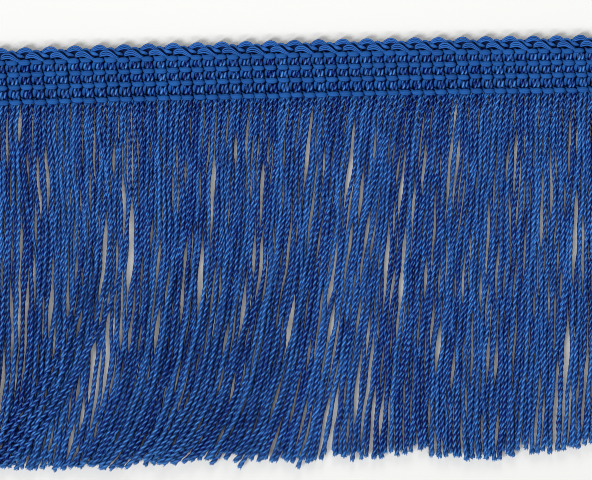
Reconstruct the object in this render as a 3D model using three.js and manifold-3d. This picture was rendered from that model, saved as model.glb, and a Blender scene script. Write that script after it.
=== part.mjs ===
// A cut length of fringe trim: a crocheted heading with a scalloped loop edge and a skirt of cords.
// Millimetres. X runs along the trim, Y from the cut ends up to the scallops, Z up from the surface.
// Depths are measured down the trim from the line through the tops of the scallops.
import * as THREE from 'three';
import { mergeGeometries, mergeVertices } from 'three/addons/utils/BufferGeometryUtils.js';
import Module from 'manifold-3d';

const wasm = await Module();
wasm.setup();

// Driving dimensions
const LENGTH = 152.4;
const COLUMNS = 52;
const COLUMN = LENGTH / COLUMNS;
const SCALLOP = 2 * COLUMN;
const BOW = 7.6e-5;
const STITCH_SLANT = 0.075;
const STITCH_EASE = 2.06e-4;
const CORD_PITCH = COLUMN / 2;
const CORD_WIDTH = 0.98;
const CORD_HEIGHT = 0.85;
const CORD_CROWN = 0.68;
const PIECE_GAP = 0.3;

// The caught ends of the cords lie in a step under the last row of the heading.
const HEADING_DEPTH = 14.2;
const STEP = { start: 13.0, height: 2.3, overrun: 5 };
const ROOT_STRIP = { start: 13.3, end: 14.0 };
const ROOT_DEPTH = 13.65;
const ROOT_PINCH = 0.85;
const STRIP_LENGTH = LENGTH - 0.6;
const SKIRT = 87.9;
const DRIFT_CURVE = 3;
const FLICK_CURVE = 9;
const SWING_TURN = 3;

// Rows of the heading: the bars of satin cord, the twisted beads under them and the grooves between
// the courses, each with its height on a column and in the valley between two columns.
const HEADING_ROWS = [
  { depth: 3.03, column: 1.6, valley: 1.3, followsLoops: 1.0 },
  { depth: 3.25, column: 2.5, valley: 2.0, followsLoops: 0.7 },
  { depth: 3.64, column: 2.95, valley: 2.1, followsLoops: 0 },
  { depth: 4.4, column: 2.4, valley: 1.8, followsLoops: 0 },
  { depth: 5.1, column: 2.7, valley: 1.9, followsLoops: 0 },
  { depth: 5.94, column: 1.7, valley: 1.5, followsLoops: 0 },
  { depth: 6.67, column: 2.95, valley: 2.1, followsLoops: 0 },
  { depth: 7.4, column: 2.4, valley: 1.8, followsLoops: 0 },
  { depth: 8.05, column: 2.7, valley: 1.9, followsLoops: 0 },
  { depth: 8.92, column: 1.7, valley: 1.5, followsLoops: 0 },
  { depth: 9.7, column: 2.95, valley: 2.1, followsLoops: 0 },
  { depth: 10.5, column: 2.4, valley: 1.9, followsLoops: 0 },
  { depth: 11.3, column: 2.75, valley: 2.1, followsLoops: 0 },
  { depth: 12.3, column: 2.1, valley: 2.0, followsLoops: 0 },
  { depth: 13.25, column: 3.2, valley: 2.75, followsLoops: 0 },
  { depth: HEADING_DEPTH, column: 2.85, valley: 2.6, followsLoops: 0 },
];

// Points across one pair of columns: the valley, then the two shoulders of each column. The small
// inner loops lift the top of the heading by the given share of their rise, most between two pairs.
const COLUMN_POINTS = [
  { along: 0, raised: 0, loop: 0.88 },
  { along: 0.2, raised: 1, loop: 0.8 },
  { along: 0.8, raised: 1, loop: 0.17 },
  { along: 1, raised: 0, loop: 0 },
  { along: 1.2, raised: 1, loop: 0.12 },
  { along: 1.8, raised: 1, loop: 0.78 },
];
const LOOP_RISE = 0.9;

// The scalloped edge over one pair of columns: how far its outline lies below the scallop tops.
const EDGE_WAVE = [
  { along: 0.13, depth: 0.58 },
  { along: 0.36, depth: 1.28 },
  { along: 0.52, depth: 0.46 },
  { along: 0.69, depth: 0 },
  { along: 0.85, depth: 0.28 },
  { along: 0.98, depth: 0.87 },
];
const EDGE_CORD = { width: 0.95, crown: 0.55, height: 1.9 };

// How the skirt lies. At the share t of the skirt's fall, a cord rooted at a place has drifted along
// the trim by lean t + sweep t^3 + flick t^9 of that fall. It is cut at the depth given as its reach.
const FLOW = [
  { at: -76.7, lean: 0.008, sweep: -0.072, flick: -0.012, reach: 101.7 },
  { at: -57.8, lean: 0.005, sweep: -0.096, flick: -0.02, reach: 101.7 },
  { at: -36.0, lean: -0.012, sweep: -0.125, flick: -0.046, reach: 101.7 },
  { at: -22.7, lean: -0.04, sweep: -0.122, flick: -0.066, reach: 101.6 },
  { at: -8.6, lean: -0.06, sweep: -0.115, flick: -0.08, reach: 101.0 },
  { at: 2.8, lean: -0.09, sweep: -0.1, flick: -0.04, reach: 101.3 },
  { at: 12.5, lean: -0.13, sweep: -0.07, flick: -0.011, reach: 101.7 },
  { at: 21.0, lean: -0.142, sweep: -0.017, flick: 0, reach: 101.5 },
  { at: 29.5, lean: -0.112, sweep: 0, flick: 0.012, reach: 100.4 },
  { at: 36.7, lean: -0.1, sweep: 0, flick: 0.02, reach: 100.5 },
  { at: 48.9, lean: -0.08, sweep: -0.015, flick: 0.017, reach: 101.7 },
  { at: 61.0, lean: -0.05, sweep: -0.02, flick: 0, reach: 101.1 },
  { at: 76.7, lean: -0.032, sweep: -0.02, flick: -0.009, reach: 99.2 },
];

// The widest slits between the cords: the middle's place along the trim, the depths where the slit
// starts and ends, its slope and its width.
const SLITS = [
  { at: -62.2, from: 22.5, to: 36.8, lean: -0.02, width: 0.85 },
  { at: -58.1, from: 36.9, to: 50.5, lean: -0.02, width: 0.95 },
  { at: -57.2, from: 48.6, to: 63.3, lean: -0.07, width: 0.8 },
  { at: -50.5, from: 45.1, to: 59.8, lean: -0.04, width: 0.7 },
  { at: -41.6, from: 37.8, to: 63.9, lean: -0.08, width: 1.1 },
  { at: -40.7, from: 74.4, to: 87.9, lean: -0.2, width: 0.82 },
  { at: -29.9, from: 56.9, to: 76.5, lean: -0.18, width: 0.65 },
  { at: -28.4, from: 77.4, to: 92.3, lean: -0.34, width: 1.01 },
  { at: -23.5, from: 57.6, to: 89.2, lean: -0.24, width: 0.8 },
  { at: -17.0, from: 36.4, to: 60.3, lean: -0.09, width: 1.09 },
  { at: -15.2, from: 65.3, to: 89.2, lean: -0.31, width: 0.87 },
  { at: -10.3, from: 47.2, to: 64.4, lean: -0.11, width: 0.65 },
  { at: -5.8, from: 75.0, to: 90.1, lean: -0.3, width: 0.75 },
  { at: -3.0, from: 57.1, to: 73.7, lean: -0.21, width: 0.8 },
  { at: 1.8, from: 16.9, to: 37.0, lean: -0.1, width: 0.94 },
  { at: 8.1, from: 80.3, to: 93.1, lean: -0.13, width: 0.88 },
  { at: 12.1, from: 18.6, to: 41.8, lean: -0.14, width: 1.1 },
  { at: 19.4, from: 58.3, to: 91.4, lean: -0.1, width: 0.65 },
  { at: 23.0, from: 56.6, to: 74.1, lean: -0.1, width: 0.86 },
  { at: 28.9, from: 14.6, to: 46.5, lean: -0.1, width: 0.67 },
  { at: 31.7, from: 69.7, to: 82.3, lean: -0.11, width: 1.14 },
  { at: 36.4, from: 14.7, to: 46.0, lean: -0.05, width: 0.98 },
  { at: 35.7, from: 75.8, to: 91.3, lean: -0.1, width: 1.01 },
  { at: 39.7, from: 47.3, to: 62.5, lean: -0.16, width: 0.82 },
  { at: 49.3, from: 46.6, to: 78.3, lean: -0.09, width: 0.72 },
  { at: 51.8, from: 54.1, to: 81.7, lean: -0.1, width: 0.99 },
  { at: 64.4, from: 60.7, to: 86.4, lean: -0.07, width: 1.15 },
  { at: 67.0, from: 33.4, to: 63.7, lean: -0.04, width: 0.89 },
];
const SLIT_REACH = 7.5;
// The cords part this much further than the slit is wide, because the two layers don't part in line.
const SLIT_SPARE = 0.1;
const UNEVEN_CUT = 2.4;

// The two layers of the skirt, each with two cords to a column, the lower ones rooted between the upper
// ones. Each layer swings from side to side in waves of its own, so that they part here and there, and
// the upper one is swept further to the side than the lower one.
const BACK = {
  bottom: 0,
  cords: 2 * COLUMNS - 1,
  firstAt: 1,
  steps: 3,
  sweep: 0.6,
  flick: 0.4,
  shorter: 1.2,
  wave: 19,
  swing: 0.35,
  phase: 1.3,
};
const FRONT = {
  bottom: CORD_HEIGHT + PIECE_GAP,
  cords: 2 * COLUMNS,
  firstAt: 0.5,
  steps: 5,
  sweep: 1,
  flick: 1,
  shorter: 0,
  wave: 23,
  swing: 0.36,
  phase: 4.1,
};

// Where the sweep presses the upper cords together, every other one rides up on its neighbours.
const CROWDED = { until: 4, fade: 8, rise: 1.0, riseFrom: 0.36, riseTo: 0.6 };

// A few cords at the left rise over the others, gather and lie slantwise across them.
const STRAYS = {
  from: -54,
  to: -40,
  rise: 1.95,
  riseFrom: 0.03,
  riseTo: 0.2,
  gather: 0.45,
  gatherFrom: 0.22,
  gatherTo: 0.62,
  slide: -21,
  slideFrom: 0.44,
  slideCurve: 1.3,
};

const HEADING_COLOUR = 0x1f5aa6;
const EDGE_COLOUR = 0x2a68b8;
const FRONT_COLOUR = 0x234a8c;
const BACK_COLOUR = 0x1a3a74;

function noise(seed) {
  const value = Math.sin(seed * 12.9898) * 43758.5453;
  return value - Math.floor(value);
}

function ramp(value, from, to) {
  return THREE.MathUtils.smoothstep(value, from, to);
}

function bowed(x, depth) {
  return -depth - BOW * x * x;
}

// The stitches are drawn out a little at the left of the trim and pressed together at the right.
function eased(x) {
  return x - STITCH_EASE * x * x;
}

// Each row of stitches lies a little to the right of the one above it.
function slanted(x, depth) {
  return eased(x) + STITCH_SLANT * (depth - HEADING_ROWS[0].depth);
}

function flowAt(x) {
  const next = Math.max(1, FLOW.findIndex((row) => row.at >= x));
  const low = FLOW[next - 1];
  const high = FLOW[next];
  const share = THREE.MathUtils.clamp((x - low.at) / (high.at - low.at), 0, 1);
  const mix = (name) => THREE.MathUtils.lerp(low[name], high[name], share);
  return { lean: mix('lean'), sweep: mix('sweep'), flick: mix('flick'), reach: mix('reach') };
}

// One cord: where it is rooted, how deep it is cut and whether it rides up or strays.
function makeStrand(layer, number) {
  const root = slanted(-LENGTH / 2 + (number + layer.firstAt) * CORD_PITCH, ROOT_DEPTH);
  const rides = layer === FRONT && number % 2 === 1;
  const strays = rides && root > STRAYS.from && root < STRAYS.to;
  const flow = flowAt(strays ? STRAYS.from : root);
  const reach = flow.reach - layer.shorter + UNEVEN_CUT * (noise(number + layer.phase) - 0.5);
  return { layer, root, flow, reach, rides, strays };
}

function driftedX(strand, depth) {
  const { layer, flow, root } = strand;
  const t = (depth - ROOT_DEPTH) / SKIRT;
  const sweep = flow.sweep * layer.sweep * t ** DRIFT_CURVE;
  const flick = flow.flick * layer.flick * t ** FLICK_CURVE;
  const turn = (2 * Math.PI * root) / layer.wave + layer.phase + SWING_TURN * t;
  const swing = layer.swing * Math.sqrt(t) * Math.sin(turn);
  return root + SKIRT * (flow.lean * t + sweep + flick) + swing;
}

// Cords to either side of a slit give way to it, less and less with their distance from it.
function partedX(strand, depth) {
  const x = driftedX(strand, depth);
  let moved = 0;
  for (const slit of SLITS) {
    const middle = (slit.from + slit.to) / 2;
    const half = (slit.to - slit.from) / 2;
    const open = 1 - ((depth - middle) / half) ** 2;
    if (open > 0) {
      const side = Math.sign(driftedX(strand, middle) - slit.at);
      const away = side * (x - slit.at - slit.lean * (depth - middle));
      const share = THREE.MathUtils.clamp(1 - away / SLIT_REACH, 0, 1);
      moved += side * share * open * (slit.width + SLIT_SPARE) / 2;
    }
  }
  return x + moved;
}

function strayX(strand, depth) {
  const t = (depth - ROOT_DEPTH) / SKIRT;
  const gather = STRAYS.gather * (strand.root - STRAYS.from) * ramp(t, STRAYS.gatherFrom, STRAYS.gatherTo);
  const past = Math.max(0, t - STRAYS.slideFrom) / (1 - STRAYS.slideFrom);
  return driftedX(strand, depth) - gather + STRAYS.slide * past ** STRAYS.slideCurve;
}

// The height of a cord's underside at the share of its own length.
function bottomAt(strand, share) {
  const { layer, rides, root, strays } = strand;
  if (strays) {
    return layer.bottom + STRAYS.rise * ramp(share, STRAYS.riseFrom, STRAYS.riseTo);
  }
  if (!rides) {
    return layer.bottom;
  }
  const crowded = 1 - ramp(root, CROWDED.until, CROWDED.until + CROWDED.fade);
  return layer.bottom + CROWDED.rise * crowded * ramp(share, CROWDED.riseFrom, CROWDED.riseTo);
}

function strandPoint(strand, share) {
  const depth = THREE.MathUtils.lerp(ROOT_DEPTH, strand.reach, share);
  const x = strand.strays ? strayX(strand, depth) : partedX(strand, depth);
  return new THREE.Vector3(x, bowed(x, depth), bottomAt(strand, share));
}

// A closed three.js mesh as a solid that can be joined and cut.
function toSolid(geometry) {
  geometry.deleteAttribute('normal');
  geometry.deleteAttribute('uv');
  const merged = mergeVertices(geometry, 1e-4);
  return new wasm.Manifold(new wasm.Mesh({
    numProp: 3,
    vertProperties: new Float32Array(merged.attributes.position.array),
    triVerts: new Uint32Array(merged.index.array),
  }));
}

function toGeometry(solid) {
  const mesh = solid.getMesh();
  const geometry = new THREE.BufferGeometry();
  geometry.setAttribute('position', new THREE.BufferAttribute(mesh.vertProperties, 3));
  geometry.setIndex(new THREE.BufferAttribute(mesh.triVerts, 1));
  return geometry;
}

// Moves every point of a geometry to where the given function puts it.
function reshape(geometry, place) {
  const position = geometry.attributes.position;
  const point = new THREE.Vector3();
  for (let i = 0; i < position.count; i += 1) {
    point.copy(place(point.fromBufferAttribute(position, i)));
    position.setXYZ(i, point.x, point.y, point.z);
  }
  return geometry;
}

// A cord is a bar of four sides, flat below and narrower above, bent to its own line.
function strandGeometry(strand) {
  const { steps } = strand.layer;
  const box = new THREE.BoxGeometry(1, 1, 1, 1, steps, 1);
  return reshape(box, (corner) => {
    const share = 0.5 - corner.y;
    const centre = strandPoint(strand, share);
    const ahead = strandPoint(strand, Math.min(share + 0.5 / steps, 1));
    const behind = strandPoint(strand, Math.max(share - 0.5 / steps, 0));
    const along = ahead.sub(behind).setZ(0).normalize();
    const width = corner.z > 0 ? CORD_CROWN : CORD_WIDTH;
    const pinch = share === 0 ? ROOT_PINCH : 1;
    centre.x -= along.y * corner.x * width * pinch;
    centre.y += along.x * corner.x * width * pinch;
    centre.z += (corner.z * pinch + 0.5) * CORD_HEIGHT;
    return centre;
  });
}

// The narrow strip that the cords of one layer are fused into.
function rootStripGeometry(layer) {
  const strip = new THREE.BoxGeometry(STRIP_LENGTH, 1, CORD_HEIGHT, COLUMNS / 2, 1, 1);
  return reshape(strip, (corner) => {
    const depth = corner.y > 0 ? ROOT_STRIP.start : ROOT_STRIP.end;
    const z = corner.z + CORD_HEIGHT / 2 + layer.bottom;
    const x = slanted(corner.x, ROOT_DEPTH);
    return new THREE.Vector3(x, bowed(x, depth), z);
  });
}

function skirtGeometry(layer) {
  let solid = toSolid(rootStripGeometry(layer));
  for (let number = 0; number < layer.cords; number += 1) {
    solid = solid.add(toSolid(strandGeometry(makeStrand(layer, number))));
  }
  return toGeometry(solid);
}

// Stations along the heading: every column's valley and shoulders, and the valley at the far end.
function headingStations() {
  const stations = [];
  for (let pair = 0; pair < COLUMNS / 2; pair += 1) {
    for (const point of COLUMN_POINTS) {
      stations.push({ ...point, x: -LENGTH / 2 + pair * SCALLOP + point.along * COLUMN });
    }
  }
  stations.push({ ...COLUMN_POINTS[0], x: LENGTH / 2 });
  return stations;
}

function headingPoint(station, row, top) {
  const depth = row.depth - row.followsLoops * LOOP_RISE * station.loop;
  const x = slanted(station.x, depth);
  const height = station.raised ? row.column : row.valley;
  return new THREE.Vector3(x, bowed(x, depth), top ? height : 0);
}

// The top and the sides of the heading, from a box of many faces.
function headingRelief(stations) {
  const columns = stations.length - 1;
  const rows = HEADING_ROWS.length - 1;
  const box = new THREE.BoxGeometry(1, 1, 1, columns, rows, 1);
  const underside = box.groups[5];
  const kept = Array.from(box.index.array).filter((value, place) => place < underside.start);
  box.setIndex(kept);
  return reshape(box, (corner) => {
    const station = stations[Math.round((corner.x + 0.5) * columns)];
    const row = HEADING_ROWS[Math.round((0.5 - corner.y) * rows)];
    return headingPoint(station, row, corner.z > 0);
  });
}

// The flat underside, on the same outline as the sides.
function headingUnderside(stations) {
  const last = stations.length - 1;
  const topRow = HEADING_ROWS[0];
  const bottomRow = HEADING_ROWS[HEADING_ROWS.length - 1];
  const outline = [
    ...stations.map((station) => headingPoint(station, topRow, false)),
    ...HEADING_ROWS.slice(1).map((row) => headingPoint(stations[last], row, false)),
    ...stations.slice(0, last).reverse().map((station) => headingPoint(station, bottomRow, false)),
    ...HEADING_ROWS.slice(1, -1).reverse().map((row) => headingPoint(stations[0], row, false)),
  ];
  const face = new THREE.ShapeGeometry(new THREE.Shape(outline.map((p) => new THREE.Vector2(p.x, p.y))));
  const turned = Array.from(face.index.array).reverse();
  face.setIndex(turned);
  return face;
}

function headingGeometry() {
  const stations = headingStations();
  const shell = mergeGeometries([headingRelief(stations), headingUnderside(stations)]);
  const step = new THREE.BoxGeometry(LENGTH + 2 * STEP.overrun, 1, 2 * STEP.height, COLUMNS / 2, 1, 1);
  reshape(step, (corner) => {
    const depth = corner.y > 0 ? STEP.start : HEADING_DEPTH + STEP.overrun;
    return new THREE.Vector3(corner.x, bowed(corner.x, depth), corner.z);
  });
  return toGeometry(toSolid(shell).subtract(toSolid(step)));
}

// The loop cord along the edge, a ribbon of four sides that follows the scallops.
function edgeGeometry() {
  const stations = [];
  for (let pair = 0; pair < COLUMNS / 2; pair += 1) {
    for (const point of EDGE_WAVE) {
      stations.push({ x: eased(-LENGTH / 2 + (pair + point.along) * SCALLOP), depth: point.depth });
    }
  }
  const steps = stations.length - 1;
  const { width, crown, height } = EDGE_CORD;
  const middle = width / 2;
  return reshape(new THREE.BoxGeometry(1, 1, 1, steps, 1, 1), (corner) => {
    const station = stations[Math.round((corner.x + 0.5) * steps)];
    const spread = corner.z > 0 ? crown : width;
    const depth = station.depth + middle - corner.y * spread;
    return new THREE.Vector3(station.x, bowed(station.x, depth), corner.z > 0 ? height : 0);
  });
}

function makeMesh(name, geometry, colour, roughness) {
  const material = new THREE.MeshStandardMaterial({ color: colour, roughness, metalness: 0 });
  const mesh = new THREE.Mesh(geometry, material);
  mesh.name = name;
  return mesh;
}

const trim = new THREE.Group();
trim.add(makeMesh('heading', headingGeometry(), HEADING_COLOUR, 0.5));
trim.add(makeMesh('scallop_edge', edgeGeometry(), EDGE_COLOUR, 0.45));
trim.add(makeMesh('fringe_front', skirtGeometry(FRONT), FRONT_COLOUR, 0.5));
trim.add(makeMesh('fringe_back', skirtGeometry(BACK), BACK_COLOUR, 0.5));

// The origin is under the middle of the whole trim, on the surface.
const bounds = new THREE.Box3().setFromObject(trim);
const middle = bounds.getCenter(new THREE.Vector3());
trim.position.set(-middle.x, -middle.y, -bounds.min.z);

export default trim;
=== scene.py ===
"""Looks of a cut length of fringe trim: a crocheted heading, scalloped loops and a skirt of twisted cords.

Shapes are worked out in millimetres in the trim's own frame: X runs along the trim, depth is measured
down it from the line through the tops of the scallops, and height is above the surface it lies on.
"""

import math

import bpy
import numpy as np
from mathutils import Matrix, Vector


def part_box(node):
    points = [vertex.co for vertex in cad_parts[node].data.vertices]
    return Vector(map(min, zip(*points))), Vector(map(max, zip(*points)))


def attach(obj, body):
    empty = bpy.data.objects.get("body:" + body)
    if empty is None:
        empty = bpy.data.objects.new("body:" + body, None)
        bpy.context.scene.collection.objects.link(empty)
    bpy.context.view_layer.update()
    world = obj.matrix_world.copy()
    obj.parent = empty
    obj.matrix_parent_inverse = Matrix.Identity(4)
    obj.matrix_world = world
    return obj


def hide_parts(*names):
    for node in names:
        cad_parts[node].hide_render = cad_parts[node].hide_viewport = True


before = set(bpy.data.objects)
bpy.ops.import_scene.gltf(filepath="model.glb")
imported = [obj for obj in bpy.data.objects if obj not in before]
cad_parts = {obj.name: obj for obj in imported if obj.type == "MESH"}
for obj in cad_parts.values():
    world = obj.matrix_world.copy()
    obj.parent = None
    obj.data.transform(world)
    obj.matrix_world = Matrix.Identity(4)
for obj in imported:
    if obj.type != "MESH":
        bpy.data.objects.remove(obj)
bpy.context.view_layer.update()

MM = 0.001
TURN = 2 * math.pi
QUARTER_TURN = 0.25
UP = np.array([0.0, 0.0, 1.0])

# Driving dimensions, as in the solids
LENGTH = 152.4
COLUMNS = 52
COLUMN = LENGTH / COLUMNS
SCALLOP = 2 * COLUMN
CORD_PITCH = COLUMN / 2
BOW = 7.6e-5
STITCH_SLANT = 0.075
STITCH_EASE = 2.06e-4
SLANT_FROM = 3.03
ROOT_DEPTH = 13.65
SKIRT = 87.9
DRIFT_CURVE = 3
FLICK_CURVE = 9
SWING_TURN = 3
SLIT_REACH = 7.5

# How the skirt lies, as in the solids. At the share t of the skirt's fall, a cord rooted at a place has
# drifted along the trim by lean t + sweep t^3 + flick t^9 of that fall. Its reach is the depth of its cut.
FLOW = np.array([
    (-76.7, 0.008, -0.072, -0.012, 101.7),
    (-57.8, 0.005, -0.096, -0.02, 101.7),
    (-36.0, -0.012, -0.125, -0.046, 101.7),
    (-22.7, -0.04, -0.122, -0.066, 101.6),
    (-8.6, -0.06, -0.115, -0.08, 101.0),
    (2.8, -0.09, -0.1, -0.04, 101.3),
    (12.5, -0.13, -0.07, -0.011, 101.7),
    (21.0, -0.142, -0.017, 0, 101.5),
    (29.5, -0.112, 0, 0.012, 100.4),
    (36.7, -0.1, 0, 0.02, 100.5),
    (48.9, -0.08, -0.015, 0.017, 101.7),
    (61.0, -0.05, -0.02, 0, 101.1),
    (76.7, -0.032, -0.02, -0.009, 99.2),
], dtype=[(name, float) for name in ("at", "lean", "sweep", "flick", "reach")])

# Each cord is cut up to half of this longer or shorter.
UNEVEN_CUT = 1.3
# Longer tufts and notches along the cut: the place of the cord's end and how much longer it is.
CUT = np.array([
    (-76, 0.6), (-72.8, 0.5), (-71.8, -2.4), (-70.8, 0.4), (-66, 1.2), (-60, 0.9), (-54.5, 0.2),
    (-50, -0.1), (-46.5, 1.5), (-41.2, 0.1), (-38.6, -1.9), (-36.4, 1), (-30, 1.2), (-25.9, -0.6),
    (-22.6, 1.3), (-19.1, -0.8), (-15.8, 2.4), (-12.4, -2), (-10, 0.5), (-3.6, 0.6), (-1.2, 2.3),
    (1.2, 0.6), (2.9, 1.2), (4.6, -1.3), (7, 0.6), (16, 1.1), (23, 0.3), (30, -0.8), (31.7, 2.4),
    (34.8, -0.2), (38, 1.6), (43, 0.6), (50.2, 0.6), (52.2, -1.8), (55.5, 1.4), (57.3, 0.1),
    (60, 1.1), (65.8, -0.6), (76, -0.5),
], dtype=[("at", float), ("longer", float)])

# The widest slits between the cords: the middle's place along the trim, the depths where the slit starts
# and ends, its slope and its width. Three near the heading aren't in the solids, and one is narrower here.
SLITS = np.array([
    (-68.1, 14.5, 25.0, -0.02, 0.7),
    (-62.2, 22.5, 36.8, -0.02, 0.85),
    (-58.1, 36.9, 50.5, -0.02, 0.95),
    (-57.2, 48.6, 63.3, -0.07, 0.8),
    (-50.5, 45.1, 59.8, -0.04, 0.7),
    (-41.6, 37.8, 63.9, -0.08, 0.5),
    (-40.7, 74.4, 87.9, -0.2, 0.82),
    (-29.9, 56.9, 76.5, -0.18, 0.65),
    (-28.4, 77.4, 92.3, -0.34, 1.01),
    (-25.9, 14.5, 33.5, -0.05, 0.8),
    (-23.5, 57.6, 89.2, -0.24, 0.8),
    (-17.0, 36.4, 60.3, -0.09, 1.09),
    (-15.2, 65.3, 89.2, -0.31, 0.87),
    (-12.3, 17.0, 30.0, -0.08, 0.7),
    (-10.3, 47.2, 64.4, -0.11, 0.65),
    (-5.8, 75.0, 90.1, -0.3, 0.75),
    (-3.0, 57.1, 73.7, -0.21, 0.8),
    (1.8, 16.9, 37.0, -0.1, 0.94),
    (8.1, 80.3, 93.1, -0.13, 0.88),
    (12.1, 18.6, 41.8, -0.14, 1.1),
    (19.4, 58.3, 91.4, -0.1, 0.65),
    (23.0, 56.6, 74.1, -0.1, 0.86),
    (28.9, 14.6, 46.5, -0.1, 0.67),
    (31.7, 69.7, 82.3, -0.11, 1.14),
    (36.4, 14.7, 46.0, -0.05, 0.98),
    (35.7, 75.8, 91.3, -0.1, 1.01),
    (39.7, 47.3, 62.5, -0.16, 0.82),
    (49.3, 46.6, 78.3, -0.09, 0.72),
    (51.8, 54.1, 81.7, -0.1, 0.99),
    (64.4, 60.7, 86.4, -0.07, 1.15),
    (67.0, 33.4, 63.7, -0.04, 0.89),
], dtype=[(name, float) for name in ("at", "start", "end", "lean", "width")])
# A slit opens to SLIT_OPEN of its width near the heading and to SLIT_CLOSED_BELOW less further down,
# with the change between these two depths. The curve rounds the slit's ends.
SLIT_OPEN = 0.9
SLIT_CLOSED_BELOW = 0.4
SLIT_CLOSES = (25, 50)
SLIT_CURVE = 0.6

# The two layers of the skirt. Their places, drift and swing are as in the solids, and so is how much shorter
# one is. The rest is set for the looks: their height, the depth where their cords start, how finely these
# are made, how far they rise over their neighbours and how much they differ in thickness.
BACK = {
    "bottom": 0.4, "cords": 2 * COLUMNS - 1, "first_at": 1, "sweep": 0.6, "flick": 0.4, "shorter": 1.2,
    "wave": 19, "swing": 0.35, "phase": 1.3, "rides": False,
    "start": 12.4, "rings_per_lay": 5, "sides": 3,
    "lift": 2.4, "size_spread": 0.1, "flare_spread": 0.3, "flare_seed": 23,
}
FRONT = {
    "bottom": 0.85, "cords": 2 * COLUMNS, "first_at": 0.5, "sweep": 1, "flick": 1, "shorter": 0,
    "wave": 23, "swing": 0.36, "phase": 4.1, "rides": True,
    "start": 3.4, "rings_per_lay": 6, "sides": 4,
    "lift": 1.4, "size_spread": 0.08, "flare_spread": 0.35, "flare_seed": 11,
}

# Size, length along the trim, length down it and phase of the waves that bunch the cords. The bunches set
# in below the heading and are less tight towards the cut.
BUNCHES = ((0.2, 4.3, 61, 0.1), (0.26, 6.9, -83, 0.55), (0.26, 11.7, 118, 0.3))
BUNCHES_SET_IN = (15, 32)
BUNCHES_LOOSEN = (45, 95)
BUNCHES_LOOSER = 0.3
# Size, shortest length and spread of lengths of each cord's own bends, which set in over BENDS_FADE.
BENDS = ((0.3, 26, 22), (0.12, 9, 6))
BENDS_FROM = 14
BENDS_FADE = 14
# Cords lift over their neighbours from LIFT_FROM on. A cord's lift is read off its bends LIFT_SHIFT further
# down, so that it doesn't go with them.
LIFT_FROM = 12
LIFT_SHIFT = 40

# Where the sweep presses the upper cords together, every other one rides up on its neighbours, as in the
# solids.
CROWDED = {"until": 4, "fade": 8, "rise": 1.0, "rise_from": 0.36, "rise_to": 0.6}
# A few cords at the left rise over the others, gather and lie slantwise across them, less high and less
# far over than in the solids.
STRAYS = {
    "from": -54, "to": -40, "rise": 1.1, "rise_from": 0.3, "rise_to": 0.6,
    "gather": 0.35, "gather_from": 0.2, "gather_to": 0.7,
    "slide": -18, "slide_from": 0.47, "slide_curve": 1.9,
}

# The twisted cord: two plies that wind round each other once in every lay.
LAY = 3.2
PLY_OFFSET = 0.25
PLY_RADIUS = 0.33
CORD_RADIUS = PLY_OFFSET + PLY_RADIUS
# The fibres between the plies: corners across the cord and upward, with a ring at every fourth step.
CORE = np.array([(0, 0.12), (-0.44, -0.06), (0.44, -0.06)])
CORE_STEP = 4
# A point's height in the cord is this share of its ply's height and, for the rest, its own on the ply.
# Above the next share of that height it gets a painted highlight, of at least the one after and by up to the
# last one more; lower down it is in painted shade.
PLY_SHARE = 0.65
PAINTED_HIGHLIGHT_FROM = 0.78
PAINTED_HIGHLIGHT_LEAST = 0.6
PAINTED_HIGHLIGHT_SPREAD = 0.6
# A cord's size is a share of the one above, at least SIZE_LEAST. It is plumper in the heading, fuller
# towards the cut and flares over the last stretch.
SIZE_LEAST = 0.9
FLARE_LEAST = 0.1
FLARE_LENGTH = 1.8
PLUMPER = 0.1
PLUMP_ENDS = (12.5, 16)
FULLER = 0.08
FULLER_SETS_IN = (50, 95)

# The loose filaments of a cut end. They point the way that the cord's last stretch runs, start inside it,
# and lie from its middle, reach past its end and splay by these ranges. Each filament's painted highlight
# has a strength drawn from the last range.
TUFT = {
    "hairs": 10, "aim": 1.3, "sunk": 0.5, "radius": (0.1, 0.6), "length": (0.05, 0.5), "splay": 0.35,
    "flatness": 0.75, "lowest": 0.08, "crown": (0.3, 1),
}
# The half width of a filament from its start to its tip
HAIR_SIZES = np.array([0.11, 0.11, 0.09, 0.04])
HAIR_SIDES = 3

# Courses of the heading: the depths of the four rows of satin bars and of the beads between them.
BAR_DEPTHS = (3.8, 6.7, 9.8, 13.4)
BEAD_DEPTHS = (5.28, 8.27, 11.6)
# The last bead is longer than the others, and so is the hook beside it.
HOOK_STRETCH = (1.0, 1.0, 1.15)
# In the heading, the two cords of a column run this far to the right of the valley at its left.
CORD_ALONG = (1.6, 2.5)
# Their undersides lie at UNDER_BARS, and BEAD_RISE higher in the middle of a bead. At the last row they
# come down to the skirt's height and are freed to its course.
UNDER_BARS = 0.95
BEAD_RISE = 0.85
BEAD_SPREAD = 0.72
COME_DOWN = (12.6, 15.5)
FREED = (12.5, 19)
# Every other lower cord leaves the heading this far to the right, between the upper cords of two columns.
BETWEEN_COLUMNS = 0.5
BETWEEN_ENDS = (14, 30)
# Every stitch is placed this far to the right of the valley at its column's left.
STITCH_INSET = 0.3

rng = np.random.default_rng(7)


def noise(seed):
    """A number from 0 to 1 for each seed. What is added to the seeds only keeps the draws apart."""
    value = np.sin(seed * 12.9898) * 43758.5453
    return value - np.floor(value)


def ramp(value, start, end):
    """From 0 at the start to 1 at the end, smooth at both."""
    share = np.clip((value - start) / (end - start), 0, 1)
    return share * share * (3 - 2 * share)


def eased(x):
    """The stitches are drawn out a little at the left and pressed together at the right."""
    return x - STITCH_EASE * x * x


def slanted(x, depth):
    """Each row of stitches lies a little to the right of the one above it."""
    return eased(x) + STITCH_SLANT * (depth - SLANT_FROM)


# The scalloped edge starts at this share of a scallop, and its tops lie at a depth of 0.
EDGE_START = 0.13
edge_low, edge_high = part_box("scallop_edge")
ORIGIN = np.array([
    edge_low.x - MM * eased(-LENGTH / 2 + EDGE_START * SCALLOP),
    edge_high.y,
    0.0,
])


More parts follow.
